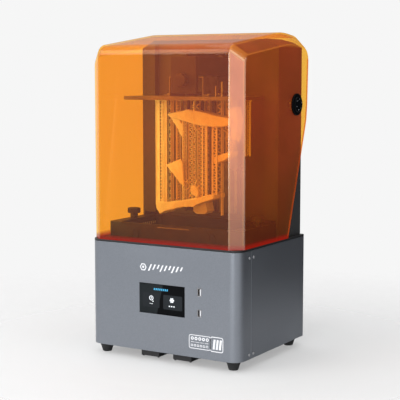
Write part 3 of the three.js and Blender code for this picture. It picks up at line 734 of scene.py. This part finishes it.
def make_ports():
    for place, (low, high) in (("upper", (134.2, 149.8)), ("lower", (95.3, 109.6))):
        refined(f"usb_port_{place}", 0.18)
        tongue = slab(f"usb_tongue_{place}", box_outline(82.7, 84.6, low + 1.6, high - 1.6),
                      FRONT + 1.5, FRONT + 13, "y")
        dress(bevelled(tongue, 0.2), "base", "black_plastic", finish="white_ink")
        pins = [slab("pin", box_outline(82.5, 82.75, z, z + 1.1), FRONT + 1.7, FRONT + 9, "y")
                for z in (low + 2.6 + (high - low - 6.3) / 3 * i for i in range(4))]
        dress(joined(f"usb_pins_{place}", pins), "base", "brass")


FANS = {"left": -33.5, "right": 38.5}
FAN_Y = -109.0


def fan_blade(bm, turn, x):
    """One swept blade between the hub and the rim."""
    columns, rows = 5, 5
    grid = []
    for i in range(columns):
        r = 9.0 + 8.2 * i / (columns - 1)
        line = []
        for j in range(rows):
            t = j / (rows - 1)
            a = turn + math.radians(-16 + 34 * t + 7 * i / (columns - 1))
            line.append(bm.verts.new((x + r * math.cos(a), FAN_Y + r * math.sin(a), 7.9 + 6.6 * t)))
        grid.append(line)
    for i in range(columns - 1):
        for j in range(rows - 1):
            bm.faces.new([grid[i][j], grid[i + 1][j], grid[i + 1][j + 1], grid[i][j + 1]])


def make_fans():
    for side, x in FANS.items():
        refined(f"fan_frame_{side}", 0.4)
        bm = bmesh.new()
        for i in range(7):
            fan_blade(bm, 2 * math.pi * i / 7, x)
        blades = from_bmesh("blades", bm)
        thick = blades.modifiers.new("thickness", "SOLIDIFY")
        thick.thickness, thick.offset = 0.9 * MM, 0
        rows = [(0, 7.3), (6.5, 7.3), (6.5, 6.7), (9.5, 6.7), (9.5, 15.6), (0, 15.6)]
        hub = lathe("hub", eased(rows, 0.6), (0, 0, 1), (x, FAN_Y, 0))
        rotor = smooth(joined(f"fan_rotor_{side}_fine", [blades, hub]), 40)
        dress(rotor, f"fan_rotor_{side}", "black_plastic", (f"fan_rotor_{side}",))


INLET_X, INLET_Z = -104.0, 62.0
SOCKET_X = INLET_X - 12


def make_inlet():
    inlet = refined("power_inlet", 0.5)
    inlet.data.materials.append(MATERIALS["brass"])
    for face in inlet.data.polygons:
        x, y, z = face.center / MM
        for dx, dz in ((-7, -1), (0, 2.5), (7, -1)):
            if abs(x - SOCKET_X - dx) < 1.1 and abs(z - INLET_Z - dz) < 2.1 and 111 < y < 127.5:
                face.material_index = 1
    refined("power_switch_rocker", 0.6)
    tilt = Matrix.Rotation(math.radians(-7), 4, "X")
    rocker = Matrix.Translation(Vector((-87, 127, INLET_Z)) * MM) @ tilt
    outlines = [(box_outline(-0.55, 0.55, 2.6, 6.6), None),
                (ring_outline(0, -4.6, 2.1), ring_outline(0, -4.6, 1.2))]
    parts = []
    for outline, hole in outlines:
        part = slab("mark", outline, 5.3, 5.72, "y", hole)
        for vertex in part.data.vertices:
            vertex.co.y += abs(vertex.co.z) * 0.1333
        part.data.transform(rocker)
        parts.append(part)
    dress(joined("power_switch_marks", parts), "power_switch", "black_plastic", finish="white_ink")
    for x in (INLET_X - 29.5, INLET_X + 29.5):
        name = "inlet_screw_left" if x < INLET_X else "inlet_screw_right"
        dress(socket_screw(name, (x, BASE_REAR + 2.7, INLET_Z), (0, 1, 0), 2.0, 1.2), "base", "steel")


def make_insides():
    for node, width in (("light_box", 0.8), ("collimating_lens", 0.4), ("led_board", 0.2),
                        ("led_heat_sink", 0.4), ("main_board", 0.3), ("power_supply", 1.0),
                        ("lcd_panel", 0.2)):
        refined(node, width)
    cells = [slab("led", box_outline(x, x + 4, y, y + 4), 75.9, 76.9)
             for x in range(-54, 55, 13) for y in range(-52, 5, 13)]
    dress(joined("led_cells", cells), "base", "circuit_board", finish="white_ink")
    rows = eased([(0, 0), (3.4, 0), (3.4, 9), (0, 9)], 0.7)
    caps = [lathe("capacitor", rows, (0, 0, 1), (x, y, 34.4), 20)
            for x, y in ((82, 84), (92, 84), (82, 96), (92, 96), (146, 66))]
    dress(joined("board_capacitors", caps), "base", "aluminium")
    # Thin black slabs stand for the vent openings: painted shade of the holes.
    slots = [slab("slot", box_outline(-150 + 7 * i, -147 + 7 * i, -40, 60, 1.4), 57.9, 58.15)
             for i in range(12)]
    dress(joined("supply_vents_painted_shade", slots), "base", "supply_case", finish="black_plastic")


# ---------------------------------------------------------------- tower and Z axis
SCREW_Y = 80.0


def make_tower():
    refined("tower_housing", 0.9)
    refined("tower_rear_cover", 0.4)
    for i, (x, z) in enumerate((x, z) for x in (-146, 146) for z in (240, 350, 460, 572)):
        screw = socket_screw(f"rear_cover_screw_{i}", (x, BASE_REAR, z), (0, 1, 0), 2.8, 1.6)
        dress(screw, "base", "steel")
    trim = [slab("trim", box_outline(x - 2, x + 2, 266, 586, 1.2), 44.9, 46.1, "y") for x in (-61.5, 61.5)]
    dress(joined("slot_trims", trim), "base", "black_plastic")


def thread(name, radius, core, low, high, pitch, starts):
    """A screw thread round the Z axis at SCREW_Y."""
    segments, steps = 16, 4
    count = round((high - low) / pitch * steps)
    bm = bmesh.new()
    rings = []
    for k in range(count + 1):
        z = low + (high - low) * k / count
        ring = []
        for i in range(segments):
            phase = (z / pitch - starts * i / segments) % 1
            r = radius if phase < 0.5 else core
            if min(z - low, high - z) < 1.5:
                r = core
            a = 2 * math.pi * i / segments
            ring.append(bm.verts.new((r * math.cos(a), SCREW_Y + r * math.sin(a), z)))
        rings.append(ring)
    for under, over in zip(rings, rings[1:]):
        for i in range(segments):
            j = (i + 1) % segments
            bm.faces.new([under[i], under[j], over[j], over[i]])
    bm.faces.new(rings[0][::-1])
    bm.faces.new(rings[-1])
    return smooth(from_bmesh(name, bm), 50)


def make_z_axis():
    for node, width in (("z_column", 0.8), ("rail_left", 0.35), ("rail_right", 0.35), ("z_motor", 1.6),
                        ("screw_top_bearing", 0.4), ("z_carriage", 0.8), ("lead_nut", 0.5)):
        refined(node, width)
    screw = thread("lead_screw_fine", 4.0, 3.1, 188, 584, 2.0, 4)
    dress(screw, "lead_screw", "steel", ("lead_screw",))
    rows = [(4.4, 176), (9.5, 176), (9.5, 181)]
    for z in (182, 185, 188, 191):
        rows += [(9.5, z), (7.8, z + 0.2), (7.8, z + 0.9), (9.5, z + 1.1)]
    rows += [(9.5, 200), (4.4, 200), (4.4, 176)]
    coupling = lathe("shaft_coupling_fine", rows, (0, 0, 1), (0, SCREW_Y, 0))
    dress(coupling, "lead_screw", "aluminium", ("shaft_coupling",))
    for side, sign in SIDES:
        bolts = [socket_screw("bolt", (sign * 32, 91.9, z), (0, -1, 0), 2.4, 0.25)
                 for z in range(250, 575, 25)]
        dress(joined(f"rail_{side}_bolts", bolts), "base", "steel", finish="motor_black")


# ---------------------------------------------------------------- platform
CLAMP_KNOB = (0, 0, 532)
TO_FRONT = (0, -1, 0)


def make_platform():
    refined("platform_arm", 0.9)
    refined("plate_bracket", 0.6)
    refined("build_plate", 0.35, 2, 20)
    screws = [socket_screw("screw", (x, y, 504.2), (0, 0, 1), 2.7, 1.6)
              for x in (-45, 45) for y in (-43, -5)]
    dress(joined("bracket_screws", screws), "platform", "steel")
    screws = [socket_screw("screw", (x, y, 577), (0, 0, 1), 3.4, 0.9)
              for x in (-17, 17) for y in (44, 56)]
    dress(joined("arm_screws", screws), "platform", "steel")
    ridges = [(1.6 if i % 2 else 2.3, 503 + 1.1 * i) for i in range(24)]
    rows = [(0, 501), (2.0, 501), (2.0, 503)] + ridges + [(1.8, 529), (0, 529)]
    post = [lathe("post", rows, (0, 0, 1), (84, -60, 0), 12),
            slab("fin", box_outline(70.6, 72.2, 501, 521), -62, -58, "y")]
    dress(joined("plate_level_post", post), "platform", "steel")

    def lobed(angle):
        return 1 - 0.11 * (0.5 + 0.5 * math.cos(8 * angle)) ** 2.2

    rows = [(0, 77), (6, 77, lobed), (11, 77, lobed), (12.9, 76.4, lobed), (13.5, 75, lobed),
            (13.5, 66, lobed), (12.8, 65, lobed), (6.4, 62.4), (3.2, 62.3), (3.2, 53), (0, 53)]
    knob = lathe("plate_clamp_knob_fine", rows, TO_FRONT, CLAMP_KNOB, 96)
    dress(knob, "plate_clamp_knob", "black_plastic", ("plate_clamp_knob",))
    rows = eased([(0, 77.05), (4.2, 77.05), (4.2, 76.2)], 0.2)
    insert = lathe("clamp_knob_insert", rows, TO_FRONT, CLAMP_KNOB, 24)
    dress(insert, "plate_clamp_knob", "black_plastic", finish="dark_anodised")


# The part-grown print: flat outlines (x, z) pushed through a range of y, then rounded together. They follow
# what can be made out through the hood.
PRINT_BODIES = {
    "slab": (-60, -14, [(-65, 297), (-64.5, 282.5), (-55.4, 271), (-44.3, 277.4), (-4.3, 288.4),
                        (20.8, 289.1), (31.5, 295.9), (66, 307), (66, 316), (56.1, 315.3), (27.9, 306.3),
                        (-2.4, 301.5), (-38.8, 296)]),
    "limb": (-61, -32, [(-38, 466.8), (-17.1, 470.9), (8.1, 476.4), (36.4, 472.8), (67.9, 465.8),
                        (98.9, 460.9), (102.6, 449.5), (85.2, 444.5), (61.0, 444.4), (32.9, 446.1),
                        (8.1, 451.6), (-15.3, 457.5), (-31.6, 460.5)]),
    "jaw": (-56, -36, [(-37.5, 468.2), (-28.4, 459), (-12.2, 457.6), (-10.4, 451.9), (-5.0, 447.4),
                       (-1.4, 436.8), (-4.0, 419.4), (-10.4, 425.9), (-17.6, 439.5), (-26.6, 451.5)]),
    "plate": (-62, -58, [(-41.8, 368), (-6.4, 381.5), (-1.5, 372.1), (1.1, 329.4), (-5.6, 332),
                         (-36.3, 364)]),
    "lobe": (-34, -6, [(4.3, 292.8), (33.1, 298), (36.7, 278.8), (31.3, 273.5), (13.4, 272.9),
                       (4.3, 278.3)]),
    "ball": (-62, -46, [(14.4, 322.8), (17.5, 330), (23.3, 331.8), (31.9, 325.3), (33.4, 315.4),
                        (30.4, 307.4), (19.7, 312.9)]),
    "hip": (-50, -20, [(60, 386.6), (82.6, 394.3), (98.5, 397.8), (95.0, 388.7), (82.6, 380.3),
                       (60, 373.5)]),
    "hand": (-40, -16, [(84, 476.2), (101.1, 482.5), (106.0, 456.6), (101.0, 417.5), (94, 423.1),
                        (90, 446)]),
}
PRINT_TOP = 493.7
# Support strips: y, top, bottom at the left and right ends, spacing of the rungs, and the bars from left
# to right.
PRINT_STRIPS = [
    (-57, PRINT_TOP, 290, 292, 6.6, ((-65.5, -55.8), (-52.4, -46.8), (-45.4, -39.6))),
    (-44, PRINT_TOP, 293, 296, 5.0, ((-39.5, -36.4), (-34.4, -31.8))),
    (-40, PRINT_TOP, 295, 298, 5.6, ((-29.6, -26.2), (-23.6, -21.6), (-19.8, -17.6))),
    (-56, 458.0, 298, 300, 7.0, ((-5.0, -2.2), (-0.4, 1.8), (3.6, 5.8))),
    (-54, 456.0, 301, 305, 4.2, ((7.4, 9.8), (16.4, 18.6), (24.0, 26.0))),
    (-56, 453.0, 305, 311, 3.9, ((28.6, 31.0), (38.6, 41.6), (46.8, 50.6))),
    (-50, 452.0, 313, 316, 5.2, ((57.0, 60.4), (65.8, 69.2))),
    (-37, PRINT_TOP, 300, 300, 6.0, ((-12.0, -10.0), (-8.4, -7.0), (2.0, 4.0), (12.0, 14.0),
                                    (22.0, 24.0), (33.0, 35.0), (44.0, 46.0))),
    (-24, PRINT_TOP, 296, 314, 7.0, ((-58.0, -56.0), (-49.0, -47.0), (-26.0, -24.0),
                                    (30.0, 32.0), (40.0, 42.0), (52.0, 54.0), (62.0, 64.0))),
    (-30, PRINT_TOP, 392, 396, 4.6, ((76.0, 78.2), (84.0, 86.0), (93.0, 95.0))),
    (-10, PRINT_TOP, 388, 389, 4.6, ((106.0, 108.6), (110.4, 112.2), (116.4, 119.2))),
]
BRIDGED_GAP = 8.0


def support_strip(bm, y, top, left, right, spacing, bars):
    """Flat bars hanging side by side from the plate, cross-braced where they are near each other."""
    span = bars[-1][1] - bars[0][0]

    def foot(x):
        return left + (right - left) * (x - bars[0][0]) / span

    for x0, x1 in bars:
        middle, wide = (x0 + x1) / 2, x1 - x0
        for shift in (-wide / 2 + 0.8, wide / 2 - 0.8):
            beam(bm, (middle + shift, y - 0.5, foot(middle) - 1), (middle + shift, y - 0.5, top), 1.6, 2.6)
        beam(bm, (middle, y, foot(middle) - 1), (middle, y, top), wide, 1.8)
        beam(bm, (middle, y, top - 2.2), (middle, y, top), wide + 1.4, 3.4)
    for (_, a), (b, _) in zip(bars, bars[1:]):
        if b - a > BRIDGED_GAP:
            continue
        z, rising = foot(a) + 2, True
        while z + spacing < top:
            low, high = (z, z + spacing * 0.75) if b - a > 4 else (z, z)
            if not rising:
                low, high = high, low
            beam(bm, (a - 0.4, y, low), (b + 0.4, y, high), spacing * 0.34, 1.6)
            rising = not rising
            z += spacing


def print_solid():
    """The grown shapes as one soft-edged skin."""
    parts = [slab("shape", outline, y0, y1, "y") for y0, y1, outline in PRINT_BODIES.values()]
    chance = random.Random(7)
    bm = bmesh.new()
    beam(bm, (22.6, -60, 493), (22.6, -60, 444), 2.6)
    beam(bm, (22.6, -60, 444.5), (34, -58, 432), 2.2)
    beam(bm, (63.3, -34, 443.5), (104, -28, 415), 2.6)
    for i in range(26):
        x = -50 + 4.4 * i
        z = 284 + 0.24 * (x + 50) if x > -4 else 280 + 0.2 * (x + 50)
        start = (x, -58 + 3 * chance.random(), z + 6)
        end = (x + chance.uniform(-2, 2), -58, z - chance.uniform(0, 4))
        beam(bm, start, end, 2.2)
    for _ in range(34):
        x, z = chance.uniform(84, 104), chance.uniform(405, 478)
        start = Vector((x, chance.uniform(-36, -18), z))
        end = start + Vector((chance.uniform(-9, 5), chance.uniform(-5, 5), chance.uniform(-10, 6)))
        beam(bm, start, end, chance.uniform(1.6, 3.4))
    for _ in range(22):
        x, z = chance.uniform(-2, 38), chance.uniform(302, 345)
        start = Vector((x, chance.uniform(-60, -50), z))
        drift = Vector((chance.uniform(-8, 8), 0, chance.uniform(-10, 8)))
        beam(bm, start, start + drift, chance.uniform(1.6, 3.0))
    parts.append(from_bmesh("twigs", bm))
    body = joined("print_body", parts)
    skin = body.modifiers.new("skin", "REMESH")
    skin.mode, skin.voxel_size = "VOXEL", 1.25 * MM
    soften = body.modifiers.new("soften", "SMOOTH")
    soften.factor, soften.iterations = 0.5, 3
    folds = bpy.data.textures.new("folds", "CLOUDS")
    folds.noise_scale = 9 * MM
    wrinkle = body.modifiers.new("wrinkle", "DISPLACE")
    wrinkle.texture, wrinkle.strength, wrinkle.mid_level = folds, 1.6 * MM, 0.5
    return smooth(settled(body), 60)


def make_print():
    bm = bmesh.new()
    for strip in PRINT_STRIPS:
        support_strip(bm, *strip)
    ladder_x, near, far = 72.1, -40, -34
    for y in (near, far):
        beam(bm, (ladder_x, y, 274), (ladder_x, y, PRINT_TOP), 1.5)
    z = 276.0
    while z < 490:
        beam(bm, (ladder_x, near, z), (ladder_x, far, z + 2), 1.0)
        z += 4.0
    whole = joined("resin_print_fine", [from_bmesh("supports", bm), print_solid()])
    dress(whole, "platform", "cured_resin", ("resin_print",))
    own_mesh(whole)


# ---------------------------------------------------------------- vat
def make_vat():
    refined("vat", 1.2, 3)
    refined("release_film", 0.15)
    ribs = []
    paths = (((91.7, 227.4), (91.7, 238.5), (90.6, 242.4), (87.6, 245.2), (83.9, 246.4), (79.4, 246.6)),
             ((80.2, 227.4), (80.2, 238.5), (79.1, 242.8), (76.3, 246.2), (73.7, 247.9)))
    for side in (-1, 1):
        for path in paths:
            bm = bmesh.new()
            for (x0, z0), (x1, z1) in zip(path, path[1:]):
                beam(bm, (side * x0, -98.3, z0), (side * x1, -98.3, z1), 0.9)
            ribs.append(from_bmesh("rib", bm))
    dress(joined("vat_front_ribs", ribs), "base", "dark_anodised")
    # A raised strip in pale aluminium along the front of the rim is a painted highlight, standing for the
    # glint on the vat's top front edge.
    rim_highlight = [slab("rim_highlight", box_outline(-36, 36, 249.4, 251.6, 0.9), -99.2, -97.6, "y")]
    dress(bevelled(joined("vat_rim_painted_highlight", rim_highlight), 0.4), "base", "dark_anodised", finish="aluminium")
    scale = []
    for i in range(17):
        depth = -128.2 if i % 4 else -128.4
        scale.append(slab("tick", box_outline(depth, -127.5, -80 + 7 * i, -79 + 7 * i), 238, 244))
    dress(joined("vat_level_ticks", scale), "base", "dark_anodised", finish="white_ink")

    def knurl(angle):
        return 1 - 0.035 * (0.5 + 0.5 * math.cos(28 * angle))

    rows = [(0, 222), (3, 222), (3, 255.8), (7.2, 255.8), (7.7, 256.3), (7.7, 264.6), (12.2, 265, knurl),
            (13, 266, knurl), (13, 273.6, knurl), (12, 275, knurl), (9.5, 275), (9, 274.2), (0, 274.2)]
    for side, sign in SIDES:
        knob = lathe(f"vat_knob_{side}_fine", rows, (0, 0, 1), (sign * 141, -24, 0), 112)
        dress(knob, f"vat_knob_{side}", "black_plastic", (f"vat_knob_{side}",))


# ---------------------------------------------------------------- hood
HINGE = (86.0, 484.5)
# The hood's extra finishes: painted edge glow, painted chamfer highlight, painted crease highlight and the
# shaded front copy.
HOOD_FINISHES = ("amber_edge_painted_glow", "amber_chamfer_painted_highlight", "amber_crease_painted_highlight", "amber_front_painted_shade")
EDGE, CHAMFER, CREASE, FACE = 1, 2, 3, 4


def make_hood():
    bm = welded("amber_hood")
    hood = from_bmesh("amber_hood_fine", bm, 1)
    level(smooth(hood, 30))
    dress(hood, "hood", "amber_acrylic", ("amber_hood",))
    for name in HOOD_FINISHES:
        hood.data.materials.append(MATERIALS[name])
    # Rims take the painted edge glow, the front chamfer strips a painted highlight, the creases painted
    # highlight lines, faces turned to the front or back the shaded front copy, and the rest the sheet with
    # its painted glow.
    for face in hood.data.polygons:
        x, y, z = face.normal
        rear_rim = face.center.y > 0.04 and y > 0.3 and abs(x) < 0.3 and z < 0.1
        bottom_rim = face.center.z < 0.2265 and z < -0.9
        if rear_rim or bottom_rim:
            face.material_index = EDGE
        elif 0.6 < abs(x) < 0.72 and y < -0.5:
            face.material_index = CHAMFER
        elif (0.2 < abs(x) <= 0.6 or 0.72 <= abs(x) < 0.985) and z < 0.3:
            face.material_index = CREASE
        elif abs(y) > 0.95:
            face.material_index = FACE
    x0 = HALF + 0.3
    # The first three points are the socket that takes the hinge pin's end.
    rows = [(0, 2.4), (8, 2.4), (8, 0), (21.5, 0), (21.5, 2.4), (20.6, 3.4), (19.2, 4.3), (17.4, 4.5),
            (16.8, 3.7), (15.8, 3.7), (15.2, 4.6), (14.4, 6.0), (12.9, 6.7), (8.6, 6.7), (8.1, 6.0),
            (6.2, 6.0), (5.6, 6.6), (0, 6.6)]
    dot_rows = eased([(0, 0), (1.5, 0), (1.5, 0.35), (0, 0.5)], 0.2)
    for side, sign in SIDES:
        refined(f"hinge_pin_{side}", 0.4)
        cap = lathe(f"hinge_cap_{side}_fine", eased(rows, 0.35), (sign, 0, 0), (sign * x0, *HINGE), 72)
        dress(cap, "hood", "black_gloss", (f"hinge_cap_{side}",))
        dots = []
        for i in range(6):
            a = math.pi / 3 * i + 0.35
            place = (sign * (x0 + 6.5), HINGE[0] + 10.7 * math.cos(a), HINGE[1] + 10.7 * math.sin(a))
            dots.append(lathe("dot", dot_rows, (sign, 0, 0), place, 16))
        dress(joined(f"hinge_cap_dots_{side}", dots), "hood", "steel")


make_base()
make_front_ornament()
make_screen()
make_ports()
make_fans()
make_inlet()
make_insides()
make_tower()
make_z_axis()
make_platform()
make_print()
make_vat()
make_hood()
set_camera()
set_studio()
bpy.context.scene.view_settings.view_transform = "Standard"
